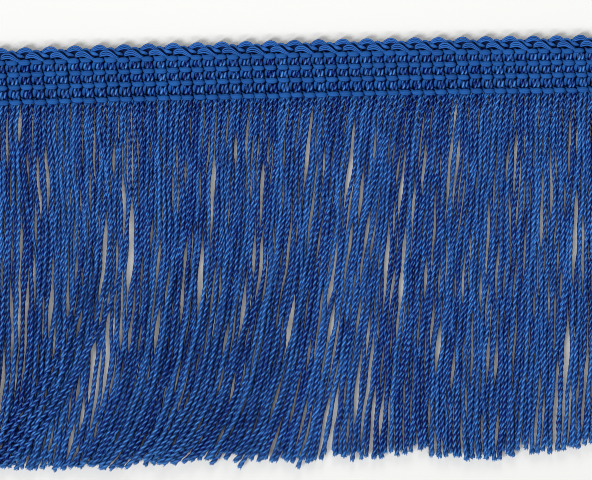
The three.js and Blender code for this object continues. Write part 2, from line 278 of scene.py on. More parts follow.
def in_frame(x, depth, height):
    """Points given along the trim, down it and above the surface, in the frame's metres."""
    y = -depth - BOW * x * x
    return np.stack([x, y, height], axis=-1) * MM + ORIGIN


def flow_at(x, name):
    return np.interp(x, FLOW["at"], FLOW[name])


def make_strands(layer):
    """Where the cords of a layer are rooted and cut, how they drift, which of them ride up or stray, and
    how thick they are."""
    number = np.arange(layer["cords"])[:, None]
    root = slanted(-LENGTH / 2 + (number + layer["first_at"]) * CORD_PITCH, ROOT_DEPTH)
    rides = (number % 2 == 1) & layer["rides"]
    strays = rides & (root > STRAYS["from"]) & (root < STRAYS["to"])
    source = np.where(strays, STRAYS["from"], root)
    lean, sweep, flick = (flow_at(source, name) for name in ("lean", "sweep", "flick"))
    end = root + SKIRT * (lean + sweep + flick)
    uneven = UNEVEN_CUT * (noise(number + layer["phase"]) - 0.5) + np.interp(end, CUT["at"], CUT["longer"])
    return {
        "layer": layer, "number": number, "root": root, "rides": rides, "strays": strays,
        "lean": lean, "sweep": sweep, "flick": flick,
        "reach": flow_at(source, "reach") - layer["shorter"] + uneven,
        "size": SIZE_LEAST + layer["size_spread"] * noise(number + 5),
        "flare": FLARE_LEAST + layer["flare_spread"] * noise(number + layer["flare_seed"]),
    }


def fall(depth):
    return np.maximum(0, (depth - ROOT_DEPTH) / SKIRT)


def drifted_x(strands, depth):
    """Where the cords lie along the trim at their depths, before any slit parts them."""
    layer = strands["layer"]
    t = fall(depth)
    sweep = strands["sweep"] * layer["sweep"] * t**DRIFT_CURVE
    flick = strands["flick"] * layer["flick"] * t**FLICK_CURVE
    turn = TURN * strands["root"] / layer["wave"] + layer["phase"] + SWING_TURN * t
    swing = layer["swing"] * np.sqrt(t) * np.sin(turn)
    return strands["root"] + SKIRT * (strands["lean"] * t + sweep + flick) + swing


def parted_x(strands, depth):
    """Cords to either side of a slit give way to it, less and less with their distance from it."""
    x = drifted_x(strands, depth)
    moved = np.zeros_like(x)
    open_share = SLIT_OPEN - SLIT_CLOSED_BELOW * ramp(depth, *SLIT_CLOSES)
    for slit in SLITS:
        middle = (slit["start"] + slit["end"]) / 2
        half = (slit["end"] - slit["start"]) / 2
        opened = np.maximum(0, 1 - ((depth - middle) / half) ** 2) ** SLIT_CURVE
        side = np.sign(drifted_x(strands, middle) - slit["at"])
        away = side * (x - slit["at"] - slit["lean"] * (depth - middle))
        share = np.clip(1 - away / SLIT_REACH, 0, 1)
        moved += side * share * opened * open_share * slit["width"] / 2
    return x + moved


def stray_x(strands, depth):
    """The strays gather towards the first of them and slide to the left."""
    t = fall(depth)
    gather = STRAYS["gather"] * (strands["root"] - STRAYS["from"])
    gather = gather * ramp(t, STRAYS["gather_from"], STRAYS["gather_to"])
    past = np.maximum(0, t - STRAYS["slide_from"]) / (1 - STRAYS["slide_from"])
    return drifted_x(strands, depth) - gather + STRAYS["slide"] * past ** STRAYS["slide_curve"]


def bottom_at(strands, share):
    """The height of the cords' undersides at the share of their own lengths."""
    crowded = 1 - ramp(strands["root"], CROWDED["until"], CROWDED["until"] + CROWDED["fade"])
    ride = CROWDED["rise"] * crowded * ramp(share, CROWDED["rise_from"], CROWDED["rise_to"])
    stray = STRAYS["rise"] * ramp(share, STRAYS["rise_from"], STRAYS["rise_to"])
    rise = np.where(strands["strays"], stray, np.where(strands["rides"], ride, 0))
    return strands["layer"]["bottom"] + rise


def skirt_line(strands, depth):
    """Place along the trim and underside height of each cord, at its own depths."""
    share = np.clip((depth - ROOT_DEPTH) / (strands["reach"] - ROOT_DEPTH), 0, 1)
    x = np.where(strands["strays"], stray_x(strands, depth), parted_x(strands, depth))
    return x, bottom_at(strands, share)


# Meshes from rings of points

def unit(vectors):
    """The vectors at a length of 1."""
    return vectors / np.linalg.norm(vectors, axis=-1, keepdims=True)


def sweep_rings(line, across, upward):
    """Rings along each line: line is (lines, rings, 3) in metres, across and upward (lines, rings, sides)
    in millimetres, measured level to the side of the line and at right angles to both."""
    along = unit(np.gradient(line, axis=1))
    side = unit(np.cross(UP, along))
    up = np.cross(along, side)
    offset = across[..., None] * side[:, :, None] + upward[..., None] * up[:, :, None]
    return line[:, :, None] + offset * MM


def ring_faces(lines, rings, sides):
    """Corner lists of the quads between rings, and of the caps at both ends."""
    index = np.arange(lines * rings * sides).reshape(lines, rings, sides)
    around = np.roll(index, -1, axis=2)
    quads = np.stack([index[:, :-1], around[:, :-1], around[:, 1:], index[:, 1:]], axis=-1)
    caps = np.concatenate([index[:, 0, ::-1], index[:, -1]])
    return quads.reshape(-1, 4), caps


def new_mesh(name, points, faces, values):
    """A mesh object from points, lists of faces of equal size with their smoothness, and point values."""
    mesh = bpy.data.meshes.new(name)
    mesh.vertices.add(len(points))
    mesh.vertices.foreach_set("co", points.astype(np.float32).ravel())
    sizes = np.concatenate([np.full(len(corners), corners.shape[1]) for corners, _ in faces])
    smooth = np.concatenate([np.full(len(corners), is_smooth) for corners, is_smooth in faces])
    corner_list = np.concatenate([corners.ravel() for corners, _ in faces])
    mesh.loops.add(len(corner_list))
    mesh.loops.foreach_set("vertex_index", corner_list.astype(np.int32))
    mesh.polygons.add(len(sizes))
    starts = np.concatenate([[0], np.cumsum(sizes)[:-1]])
    mesh.polygons.foreach_set("loop_start", starts.astype(np.int32))
    mesh.update(calc_edges=True)
    mesh.polygons.foreach_set("use_smooth", smooth)
    for value_name, kind, field, numbers in values:
        attribute = mesh.attributes.new(value_name, kind, "POINT")
        attribute.data.foreach_set(field, numbers.astype(np.float32).ravel())
    piece = bpy.data.objects.new(name, mesh)
    bpy.context.scene.collection.objects.link(piece)
    return piece


def yarn_values(group, rings_shape):
    """Point values that the yarn's finish reads: place in the yarn, its own tone, its share of painted light
    (a painted highlight where it stands out of the yarn's grooves, painted shade in them) and wear at its
    end."""
    spread = np.broadcast_to(group["lay"], (*rings_shape, 3)).reshape(-1, 3)
    values = [("lay", "FLOAT_VECTOR", "vector", spread)]
    for name in ("tone", "crown", "worn"):
        values.append((name, "FLOAT", "value", np.broadcast_to(group[name], rings_shape).ravel()))
    return values


def swept_piece(name, groups):
    """One piece from several groups of tubes, each a dict with its line, section and yarn values."""
    points, quads, caps, values, start = [], [], {}, [], 0
    for group in groups:
        rings = sweep_rings(group["line"], group["across"], group["upward"])
        lines, count, sides = rings.shape[:3]
        more_quads, more_caps = ring_faces(lines, count, sides)
        points.append(rings.reshape(-1, 3))
        quads.append(more_quads + start)
        caps.setdefault(sides, []).append(more_caps + start)
        values.append(yarn_values(group, (lines, count, sides)))
        start += lines * count * sides
    faces = [(np.concatenate(quads), True)]
    faces += [(np.concatenate(same_size), False) for same_size in caps.values()]
    joined = [
        (value_name, kind, field, np.concatenate([value[k][3] for value in values]))
        for k, (value_name, kind, field, _) in enumerate(values[0])
    ]
    return new_mesh(name, np.concatenate(points), faces, joined)


# The twisted cord

def round_section(sides):
    """Corners round a yarn: across it, upward and the share of its height, the first at its top."""
    angle = TURN * (np.arange(sides) / sides + QUARTER_TURN)
    return np.stack([np.cos(angle), np.sin(angle), (1 + np.sin(angle)) / 2], axis=1)


def ply_crown(angle, phase, section):
    """The painted light on the points of a ply: a painted highlight where it stands highest in the cord,
    painted shade in the cord's grooves. Each turn of a ply comes up over the other one with a painted
    highlight of its own strength."""
    height = PLY_SHARE * (1 + np.sin(angle)) / 2 + (1 - PLY_SHARE) * section[:, 2]
    turn = np.floor(angle / TURN + QUARTER_TURN)
    return ramp(height, PAINTED_HIGHLIGHT_FROM, 1) * (PAINTED_HIGHLIGHT_LEAST + PAINTED_HIGHLIGHT_SPREAD * noise(turn + phase[..., None]))


def twisted(line, sides, phase, size, tone, worn):
    """The two plies of the cords along lines in metres. The size is a share of the cord's own."""
    steps = np.linalg.norm(np.diff(line, axis=1), axis=-1) / MM
    along = np.concatenate([np.zeros((len(line), 1)), np.cumsum(steps, axis=1)], axis=1)
    section = round_section(sides)
    corner = section * PLY_RADIUS
    plies = []
    for half_turn in (0, math.pi):
        angle = (TURN * along / LAY + phase + half_turn)[..., None]
        across = (PLY_OFFSET * np.cos(angle) + corner[:, 0]) * size[..., None]
        upward = (PLY_OFFSET * np.sin(angle) + corner[:, 1]) * size[..., None]
        lay = np.zeros((*across.shape, 3))
        lay[..., 0] = corner[:, 0] + half_turn
        lay[..., 1] = corner[:, 1]
        lay[..., 2] = along[..., None]
        plies.append({
            "line": line, "across": across, "upward": upward, "lay": lay, "tone": tone[..., None],
            "crown": ply_crown(angle, phase, section), "worn": worn[..., None],
        })
    return plies


def core(line, size, tone, worn):
    """What fills the cords between their plies, all in painted shade."""
    chosen = np.unique(np.append(np.arange(0, line.shape[1], CORE_STEP), line.shape[1] - 1))
    size = size[:, chosen, None]
    return {
        "line": line[:, chosen], "across": size * CORE[:, 0], "upward": size * CORE[:, 1],
        "lay": (0.0, 0.0, 1.0), "tone": tone[:, chosen, None], "crown": 0.0, "worn": worn[:, chosen, None],
    }


def cord_size(strands, depth):
    """The size of each cord at its depths, and how worn it is there."""
    near_end = 1 - ramp(strands["reach"] - depth, 0, FLARE_LENGTH)
    plumper = PLUMPER * (1 - ramp(depth, *PLUMP_ENDS))
    fuller = FULLER * ramp(depth, *FULLER_SETS_IN)
    return strands["size"] + plumper + fuller + strands["flare"] * near_end, near_end


def heading_x(strands, depth):
    """Where the cords run through the heading, two to a column."""
    column = strands["number"] // 2
    along = np.array(CORD_ALONG)[strands["number"] % 2]
    return slanted(-LENGTH / 2 + column * COLUMN + along, depth)


def front_line(strands, depth):
    """The upper cords from the first row of the heading to the cut: low under the bars, high as beads."""
    x, bottom = skirt_line(strands, depth)
    freed = ramp(depth, *FREED)
    x = x + (1 - freed) * (heading_x(strands, depth) - x)
    bead = sum(np.exp(-(((depth - middle) / BEAD_SPREAD) ** 2)) for middle in BEAD_DEPTHS)
    in_heading = UNDER_BARS + BEAD_RISE * bead
    height = in_heading + (bottom - in_heading) * ramp(depth, *COME_DOWN)
    return x, height + CORD_RADIUS


def back_line(strands, depth):
    """The lower cords from the last row of the heading to the cut."""
    x, bottom = skirt_line(strands, depth)
    between = (strands["number"] % 2 == 1) * (1 - ramp(depth, *BETWEEN_ENDS))
    return x + BETWEEN_COLUMNS * between, bottom + CORD_RADIUS


def bunched(strands, depth):
    """The cords of both layers draw together in bunches of a few, with narrow gaps between the bunches."""
    moved = 0
    for size, across, down, phase in BUNCHES:
        moved = moved + size * np.sin(TURN * (strands["root"] / across + depth / down + phase))
    return moved * ramp(depth, *BUNCHES_SET_IN) * (1 - BUNCHES_LOOSER * ramp(depth, *BUNCHES_LOOSEN))


def wander(strands, depth, start):
    """Bends of each cord's own, from the start depth on."""
    seeds = strands["number"] + strands["layer"]["phase"] + start
    bend = 0
    for size, shortest, spread in BENDS:
        length = shortest + spread * noise(seeds + 31 * size)
        bend = bend + size * np.sin(TURN * (depth / length + noise(seeds + 57 * size)))
    return bend * ramp(depth, start, start + BENDS_FADE)


def moved_aside(strands, depth):
    """How far bunches and bends move the cords along the trim."""
    return bunched(strands, depth) + wander(strands, depth, BENDS_FROM)


def lift(strands, depth):
    """How far each cord rises over its neighbours here and there."""
    shifted = wander(strands, depth + LIFT_SHIFT, LIFT_FROM + LIFT_SHIFT)
    return strands["layer"]["lift"] * np.abs(shifted)


def cord_points(strands, line_of, depth):
    """Points along the middles of the cords, in the frame's metres."""
    x, height = line_of(strands, depth)
    return in_frame(x + moved_aside(strands, depth), depth, height + lift(strands, depth))


def strand_depths(strands):
    """Evenly spaced depths down each cord, as many for every cord of the piece."""
    layer = strands["layer"]
    step = LAY / layer["rings_per_lay"]
    count = round((np.max(strands["reach"]) - layer["start"]) / step) + 1
    share = np.linspace(0, 1, count)[None, :]
    return layer["start"] + (strands["reach"] - layer["start"]) * share


def pick(strands, chosen):
    """The chosen ones of the cords."""
    return {
        key: value[chosen] if isinstance(value, np.ndarray) else value
        for key, value in strands.items()
    }


def skirt_piece(name, strands, line_of):
    """One piece of twisted cords that follow the lines of the given function."""
    layer = strands["layer"]
    depth = strand_depths(strands)
    line = cord_points(strands, line_of, depth)
    size, worn = cord_size(strands, depth)
    seeds = strands["number"] + 7 * layer["phase"]
    tone = np.broadcast_to(noise(seeds + 3), depth.shape)
    plies = twisted(line, layer["sides"], TURN * noise(seeds), size, tone, worn)
    return swept_piece(name, [*plies, core(line, size, tone, worn)])


# Tufts of loose filaments at the cut ends

def tuft_lines(strands, line_of):
    """The lines of the loose filaments that spread from the cut ends, one after another."""
    tip = cord_points(strands, line_of, strands["reach"])[:, 0]
    behind = cord_points(strands, line_of, strands["reach"] - TUFT["aim"])[:, 0]
    ahead = unit(tip - behind)
    side = unit(np.cross(UP, ahead))
    each = (len(tip), TUFT["hairs"])
    turn = rng.uniform(0, TURN, each)
    radius = rng.uniform(*TUFT["radius"], each) * MM
    length = rng.uniform(*TUFT["length"], each) * MM
    splay = rng.uniform(0.0, TUFT["splay"], each) * length
    sunk = TUFT["sunk"] * MM
    share = np.linspace(0, 1, len(HAIR_SIZES))
    out = radius[..., None] + splay[..., None] * share
    run = (length[..., None] + sunk) * share - sunk
    across = out * np.cos(turn)[..., None]
    upward = TUFT["flatness"] * out * np.sin(turn)[..., None]
    line = (
        tip[:, None, None] + ahead[:, None, None] * run[..., None]
        + side[:, None, None] * across[..., None] + UP * upward[..., None]
    )
    line[..., 2] = np.maximum(line[..., 2], TUFT["lowest"] * MM)
    return line.reshape(-1, len(HAIR_SIZES), 3)


def tuft_group(strands, line_of):
    """Short tapering filaments that spread from each cut end."""
    line = tuft_lines(strands, line_of)
    corners = TURN * np.arange(HAIR_SIDES) / HAIR_SIDES
    rings_shape = (*line.shape[:2], HAIR_SIDES)
    share = np.linspace(0, 1, len(HAIR_SIZES))
    each = (len(line), 1, 1)
    return {
        "line": line,
        "across": np.broadcast_to(HAIR_SIZES[:, None] * np.cos(corners), rings_shape),
        "upward": np.broadcast_to(HAIR_SIZES[:, None] * np.sin(corners), rings_shape),
        "lay": share[:, None, None],
        "tone": rng.uniform(0, 1, each),
        "crown": rng.uniform(*TUFT["crown"], each),
        "worn": 1.0,
    }


# Yarn that lies in given curves: along, depth, height, half width and thickness in each row

def smooth_line(rows, count):
    """The rows of a given table as count rows of a smooth curve through them."""
    rows = np.array(rows, float)
    padded = np.vstack([2 * rows[0] - rows[1], rows, 2 * rows[-1] - rows[-2]])
    at = np.linspace(0, len(rows) - 1, count)
    i = np.minimum(at.astype(int), len(rows) - 2)
    t = (at - i)[:, None]
    before, start, end, after = (padded[i + k] for k in range(4))
    return 0.5 * (
        2 * start + (end - before) * t
        + (2 * before - 5 * start + 4 * end - after) * t**2
        + (3 * start - before - 3 * end + after) * t**3
    )


# The section of a flat yarn, in its own half width and thickness: the power of its arch, how far its ridges
# rise over that, the painted light of its corners (a painted highlight on the ridges, less in the grooves
# and least at the rims), and the corners of its underside, which lie in painted shade.
ARCH_CURVE = 0.8
RIDGE_RISE = 0.06
RIDGE_PAINTED_LIGHT = 1
GROOVE_PAINTED_LIGHT = 0.5
RIM_PAINTED_LIGHT = 0.2
UNDERSIDE = [(-0.85, -0.25, 0), (0.85, -0.25, 0)]
# Copies of a yarn are bent by this share of their jitter, moved up or down by that share of it and differ
# by this share in thickness. The grain runs over LAY_LENGTH along each copy, from a start in LAY_STARTS.
BENT = 0.6
RAISED = 0.6
THICKNESS_SPREAD = 0.06
LAY_LENGTH = 3
LAY_STARTS = (0, 50)


def ridged_section(ridges, groove):
    """A flat underside and an arched top of parallel strands: each corner's place across from -1 to 1,
    its place upward and its painted light: a painted highlight on the ridges, painted shade in the grooves
    and underneath."""
    across = np.linspace(1, -1, 2 * ridges + 1)
    arch = np.sqrt(np.maximum(0, 1 - across**2)) ** ARCH_CURVE
    grooves = np.arange(len(across)) % 2 == 0
    arch = arch * np.where(grooves, 1 - groove, 1) + np.where(grooves, 0, RIDGE_RISE)
    top = np.stack([across, arch, np.where(grooves, GROOVE_PAINTED_LIGHT, RIDGE_PAINTED_LIGHT)], axis=1)
    top[[0, -1], 2] = RIM_PAINTED_LIGHT
    return np.concatenate([top, UNDERSIDE])


def laid_yarn(table, section, x0, depth0, rings, jitter, stretch=1.0):
    """Copies of a given curve. Its rows are along, depth, height, half width and thickness, and each
    copy starts at its own x0 and depth0. Depths are stretched down from the curve's start."""
    curve = smooth_line(table, rings)
    copies = len(x0)
    arc = np.sin(np.linspace(0, math.pi, rings))[None, :, None]
    shift = rng.normal(0, jitter, (copies, 1, 3))
    bend = rng.normal(0, BENT * jitter, (copies, 1, 3)) * arc
    grow = 1 + rng.normal(0, THICKNESS_SPREAD, (copies, 1))
    moved = shift + bend
    depth = depth0[:, None] + curve[:, 1] * stretch + moved[..., 1]
    x = slanted(x0[:, None] + curve[:, 0] + moved[..., 0], depth)
    line = in_frame(x, depth, curve[:, 2] + RAISED * moved[..., 2])
    across = curve[:, 3][None, :, None] * grow[..., None] * section[:, 0]
    upward = curve[:, 4][None, :, None] * grow[..., None] * section[:, 1]
    lay = np.zeros((*across.shape, 3))
    lay[..., 0] = across
    lay[..., 1] = upward
    along = np.linspace(0, LAY_LENGTH, rings)[None, :, None]
    lay[..., 2] = along + rng.uniform(*LAY_STARTS, (copies, 1, 1))
    return {
        "line": line, "across": across, "upward": upward, "lay": lay,
        "tone": rng.uniform(0, 1, (copies, 1, 1)), "crown": section[:, 2], "worn": 0.0,
    }


# The bar of satin yarn, from the thin thread at its upper left to its tucked right end.
BAR = [
    (-0.15, -0.95, 1.2, 0.15, 0.15),
    (0.18, -0.7, 1.7, 0.2, 0.2),
    (0.42, -0.4, 2.1, 0.36, 0.28),
    (0.64, -0.1, 2.35, 0.57, 0.34),
    (1.05, 0.0, 2.45, 0.66, 0.4),
    (1.6, 0.0, 2.48, 0.7, 0.42),
    (2.16, 0.02, 2.45, 0.66, 0.4),
    (2.54, 0.05, 2.3, 0.56, 0.34),
    (2.72, 0.08, 2.0, 0.42, 0.28),
    (2.8, 0.1, 1.5, 0.26, 0.2),
]
# The flat hook that leaves the bar's left end and curls down beside the bead.
HOOK = [
    (1.0, 0.2, 2.2, 0.3, 0.2),
    (0.62, 0.5, 2.15, 0.4, 0.24),
    (0.36, 0.9, 2.05, 0.45, 0.26),
    (0.25, 1.3, 1.95, 0.43, 0.26),
    (0.23, 1.65, 1.75, 0.37, 0.24),
    (0.27, 1.95, 1.4, 0.28, 0.2),
    (0.36, 2.2, 1.0, 0.2, 0.16),
]
# The short tail under the left end of a bar of the last row.
TAIL = [
    (1.0, 0.32, 2.25, 0.26, 0.2),
    (0.72, 0.66, 2.2, 0.31, 0.26),
    (0.52, 1.0, 2.0, 0.28, 0.24),
    (0.42, 1.3, 1.7, 0.2, 0.2),
    (0.4, 1.52, 1.35, 0.12, 0.15),
]
# Over each pair of columns, measured from the top of its scallop: the outer arc and its long right leg.
OUTER_ARC = [
    (-2.1, 1.75, 1.0, 0.18, 0.18),
    (-1.98, 1.32, 1.3, 0.21, 0.21),
    (-1.5, 0.76, 1.6, 0.22, 0.22),
    (-0.75, 0.36, 1.75, 0.22, 0.22),
    (0.0, 0.21, 1.8, 0.22, 0.22),
    (0.85, 0.4, 1.8, 0.22, 0.22),
    (1.5, 0.92, 1.75, 0.22, 0.22),
    (2.1, 1.52, 1.7, 0.22, 0.22),
    (2.8, 2.2, 1.75, 0.22, 0.22),
    (3.5, 2.8, 1.85, 0.2, 0.2),
    (4.2, 3.3, 1.85, 0.18, 0.18),
]
# The row of the outer arc that lies at the top of the scallop
OUTER_TOP = 4
# How far each inner strand of the outer arc lies from the one outside it, along and down, row by row.
OUTER_INSET = [
    (0.24, 0.02), (0.24, 0.06), (0.2, 0.28), (0.14, 0.38), (0.04, 0.41), (-0.04, 0.38),
    (-0.1, 0.36), (-0.14, 0.3), (-0.14, 0.24), (-0.1, 0.18), (0, 0.12),
]
# The strand behind, whose low hump fills the dip between two scallops.
BAND = [
    (1.6, 1.45, 1.0, 0.2, 0.2),
    (1.95, 1.05, 1.3, 0.25, 0.24),
    (2.6, 0.92, 1.45, 0.28, 0.26),
    (3.2, 1.2, 1.45, 0.28, 0.26),
    (3.65, 1.8, 1.35, 0.26, 0.24),
    (4.0, 2.45, 1.25, 0.22, 0.22),
    (4.4, 3.0, 1.1, 0.18, 0.2),
]
# The smooth foot of an arc, where its strands turn back under the loop before it.
FOOT = [
    (-2.45, 1.55, 1.2, 0.2, 0.2),
    (-2.1, 1.85, 1.5, 0.4, 0.34),
    (-1.6, 2.08, 1.6, 0.47, 0.4),
    (-1.0, 2.3, 1.45, 0.4, 0.34),
    (-0.45, 2.5, 1.15, 0.22, 0.22),
]
# The inner arc, which comes out of the dark hole and runs into the second bar.
INNER_ARC = [
    (-0.05, 2.5, 1.55, 0.18, 0.18),
    (0.08, 2.15, 1.85, 0.2, 0.2),
    (0.5, 1.82, 2.05, 0.22, 0.22),
    (1.15, 1.66, 2.2, 0.22, 0.22),
    (1.85, 1.68, 2.25, 0.22, 0.22),
    (2.5, 1.95, 2.3, 0.22, 0.22),
    (3.1, 2.42, 2.3, 0.22, 0.22),
    (3.65, 2.9, 2.2, 0.2, 0.2),
    (4.2, 3.3, 2.0, 0.18, 0.18),
]
# The same steps for the strands of the inner arc
INNER_INSET = [
    (-0.05, 0.22), (-0.06, 0.34), (0.0, 0.42), (0.05, 0.45), (0.0, 0.46), (-0.06, 0.42),
    (-0.1, 0.34), (-0.08, 0.24), (-0.04, 0.12),
]
# Where a scallop's top stands, as a share of the scallop.
CREST_AT = 0.92
STRANDS_TO_A_LOOP = 3
# A loop's strand gets a painted highlight above this share of its height and lies in painted shade below it.
LOOP_PAINTED_LIGHT_FROM = 0.55
# Each inner strand of a loop lies this much higher than the one outside it.
STRAND_RISE = 0.06
# The bars of the last row lie this much higher than the others.
LAST_BAR_RISE = 0.22


def stitch_places():
    """Where each column's stitches start along the trim."""
    return -LENGTH / 2 + np.arange(COLUMNS) * COLUMN + STITCH_INSET


def bar_groups():
    """Four rows of satin bars."""
    section = ridged_section(3, groove=0.1)
    x0 = stitch_places()
    raised_bar = [
        (x, depth, height + LAST_BAR_RISE, half_width, thickness)
        for x, depth, height, half_width, thickness in BAR
    ]
    tables = [BAR] * (len(BAR_DEPTHS) - 1) + [raised_bar]
    return [
        laid_yarn(table, section, x0, np.full(COLUMNS, depth), rings=12, jitter=0.055)
        for table, depth in zip(tables, BAR_DEPTHS)
    ]


def hook_groups():
    """The hooks beside the beads, and the tails under the last row."""
    section = ridged_section(2, groove=0.12)
    x0 = stitch_places()
    groups = [
        laid_yarn(HOOK, section, x0, np.full(COLUMNS, depth), rings=8, jitter=0.06, stretch=stretch)
        for depth, stretch in zip(BAR_DEPTHS, HOOK_STRETCH)
    ]
    groups.append(laid_yarn(TAIL, section, x0, np.full(COLUMNS, BAR_DEPTHS[-1]), rings=6, jitter=0.04))
    return groups


def inset(table, steps, strand):
    """The table of the strand that lies that many strands inside the outermost one."""
    return [
        (x + strand * along, depth + strand * down, height + STRAND_RISE * strand, half_width, thickness)
        for (x, depth, height, half_width, thickness), (along, down) in zip(table, steps)
    ]


def loop_groups():
    """The loops of three strands that make up the scalloped edge."""
    section = round_section(5)
    section[:, 2] = ramp(section[:, 2], LOOP_PAINTED_LIGHT_FROM, 1)
    crest = -LENGTH / 2 + (np.arange(-1, COLUMNS // 2) + CREST_AT) * SCALLOP
    zero = np.zeros(len(crest))
    groups = []
    for strand in range(STRANDS_TO_A_LOOP):
        outer = inset(OUTER_ARC, OUTER_INSET, strand)
        inner = inset(INNER_ARC, INNER_INSET, strand)
        groups.append(laid_yarn(outer, section, crest[1:-1], zero[1:-1], rings=17, jitter=0.02))
        groups.append(laid_yarn(inner, section, crest[:-1], zero[:-1], rings=15, jitter=0.03))
        # The trim's ends are cut through the tops of two scallops.
        right_half = outer[OUTER_TOP:]
        left_half = outer[:OUTER_TOP + 1]
        groups.append(laid_yarn(right_half, section, crest[:1], zero[:1], rings=11, jitter=0.02))
        groups.append(laid_yarn(left_half, section, crest[-1:], zero[-1:], rings=7, jitter=0.02))
    band = ridged_section(2, groove=0.12)
    foot = ridged_section(3, groove=0.12)
    groups.append(laid_yarn(BAND, band, crest[:-1], zero[:-1], rings=11, jitter=0.03))
    groups.append(laid_yarn(FOOT, foot, crest[1:], zero[1:], rings=9, jitter=0.03))
    return groups


# The ground under the stitches: its steps to a column and from its top to its foot, the depths of its
# scalloped top and of its foot, its height and thickness, the waves of its knitting, its tone and its even
# share of painted light.
GROUND = {
    "steps": 4, "rows": 8, "top": 0.45, "dip": 0.6, "foot": 12.75, "height": 0.85, "thickness": 0.35,
    "wave_along": 0.07, "wave_down": 0.05, "tone": 0.3, "crown": 0.5,
}
# Each stitch of the knitting takes this much of the depth, on the face and in the chains down the back.
KNIT_STITCH = 1.5


def ground_face():
    """Rows of points over the face of the ground cloth, in the frame's metres."""
    x = np.linspace(-LENGTH / 2, LENGTH / 2, GROUND["steps"] * COLUMNS + 1)
    phase = (x + LENGTH / 2) / SCALLOP - CREST_AT
    top = GROUND["top"] + GROUND["dip"] * (1 - np.cos(TURN * phase)) / 2
    share = np.linspace(0, 1, GROUND["rows"] + 1)[:, None]
    depth = top + (GROUND["foot"] - top) * share
    along = GROUND["wave_along"] * np.cos(TURN * (x / COLUMN))
    down = GROUND["wave_down"] * np.sin(TURN * depth / KNIT_STITCH)
    return in_frame(slanted(x, depth), depth, GROUND["height"] + (along + down))


def slab_quads(index):
    """Quads of a slab: its face, its underside, whose corners follow the face's, and its rim."""
    below = index + index.size
    face = np.stack([index[:-1, :-1], index[1:, :-1], index[1:, 1:], index[:-1, 1:]], axis=-1)
    underside = np.stack([below[:-1, :-1], below[:-1, 1:], below[1:, 1:], below[1:, :-1]], axis=-1)
    rim = np.concatenate([index[0, :-1], index[:-1, -1], index[-1, :0:-1], index[:0:-1, 0]])
    ahead = np.roll(rim, -1)
    sides = np.stack([rim, ahead, ahead + index.size, rim + index.size], axis=-1)
    return np.concatenate([face.reshape(-1, 4), underside.reshape(-1, 4), sides])


def ground_cloth():
    """The close knitted ground under the stitches, with a scalloped top edge."""
    face = ground_face()
    under = face - UP * GROUND["thickness"] * MM
    points = np.concatenate([face.reshape(-1, 3), under.reshape(-1, 3)])
    quads = slab_quads(np.arange(face.shape[0] * face.shape[1]).reshape(face.shape[:2]))
    values = [
        ("lay", "FLOAT_VECTOR", "vector", points / MM),
        ("tone", "FLOAT", "value", np.full(len(points), GROUND["tone"])),
        ("crown", "FLOAT", "value", np.full(len(points), GROUND["crown"])),
        ("worn", "FLOAT", "value", np.zeros(len(points))),
    ]
    return new_mesh("ground_cloth", points, [(quads, True)], values)


# The chains down the back: their rings, the depths of their ends, how far each yarn swings out from the
# middle of the column, its height and its thickness.
CHAIN = {
    "rings": 28, "start": 2.4, "end": 12.6, "swing": 0.62, "apart": 0.1, "height": 0.3, "wave": 0.06,
    "radius": 0.26,
}


def back_chains():
    """Chains of two yarns down the back of every column."""
    depth = np.linspace(CHAIN["start"], CHAIN["end"], CHAIN["rings"])[None, :]
    swing = CHAIN["swing"] * np.abs(np.cos(math.pi * depth / KNIT_STITCH)) + CHAIN["apart"]
    height = CHAIN["height"] + CHAIN["wave"] * np.cos(TURN * depth / KNIT_STITCH)
    middle = stitch_places()[:, None] + COLUMN / 2
    section = round_section(4) * (CHAIN["radius"], CHAIN["radius"], 1)
    groups = []
    for side in (-1, 1):
        x = slanted(middle + side * swing, depth)
        line = in_frame(x, depth, np.broadcast_to(height, x.shape))
        rings_shape = (*x.shape, len(section))
        lay = np.zeros((*rings_shape, 3))
        lay[..., :2] = section[:, :2]
        lay[..., 2] = depth[..., None]
        groups.append({
            "line": line, "lay": lay,
            "across": np.broadcast_to(section[:, 0], rings_shape),
            "upward": np.broadcast_to(section[:, 1], rings_shape),
            # The chains' tops get a painted highlight and their undersides painted shade, by the share of
            # each corner's height.
            "tone": rng.uniform(0, 1, (COLUMNS, 1, 1)), "crown": section[:, 2], "worn": 0.0,
        })
    return swept_piece("back_chains", groups)


# Finishes

def add_node(tree, kind, inputs=None, **settings):
    """A node with its settings, and each named or numbered input set to a value or linked to a socket."""
    node = tree.nodes.new(kind)
    for name, value in settings.items():
        setattr(node, name, value)
    for name, value in (inputs or {}).items():
        if isinstance(value, bpy.types.NodeSocket):
            tree.links.new(value, node.inputs[name])
        else:
            node.inputs[name].default_value = value
    return node


def mix_colours(tree, factor, first, second):
    """A colour between two others. Each of the three may be a value or a socket."""
    node = tree.nodes.new("ShaderNodeMix")
    node.data_type = "RGBA"
    sockets = [socket for socket in node.inputs if socket.enabled]
    for socket, value in zip(sockets, (factor, first, second)):
        if isinstance(value, bpy.types.NodeSocket):
            tree.links.new(value, socket)
        else:
            socket.default_value = value
    return next(socket for socket in node.outputs if socket.enabled)


# The yarn's finish: how the grain of its filaments is drawn out along the ply, the scale of its cloudy
# patches and the weight of its painted light. The sum of these and the strand's tone gives the dark colour,
# of dark tone and painted shade, up to the next value and the light colour, of light tone and painted
# highlight, from the one after. The grain's depth is in metres.
GRAIN = (13.0, 13.0, 0.5)
CLOUD_SCALE = 0.35
PAINTED_LIGHT_WEIGHT = 3.0
DARK_AND_SHADED_UP_TO = 1.3
LIGHT_AND_LIT_FROM = 4.55
GRAIN_STRENGTH = 0.5
GRAIN_DEPTH = 0.00006
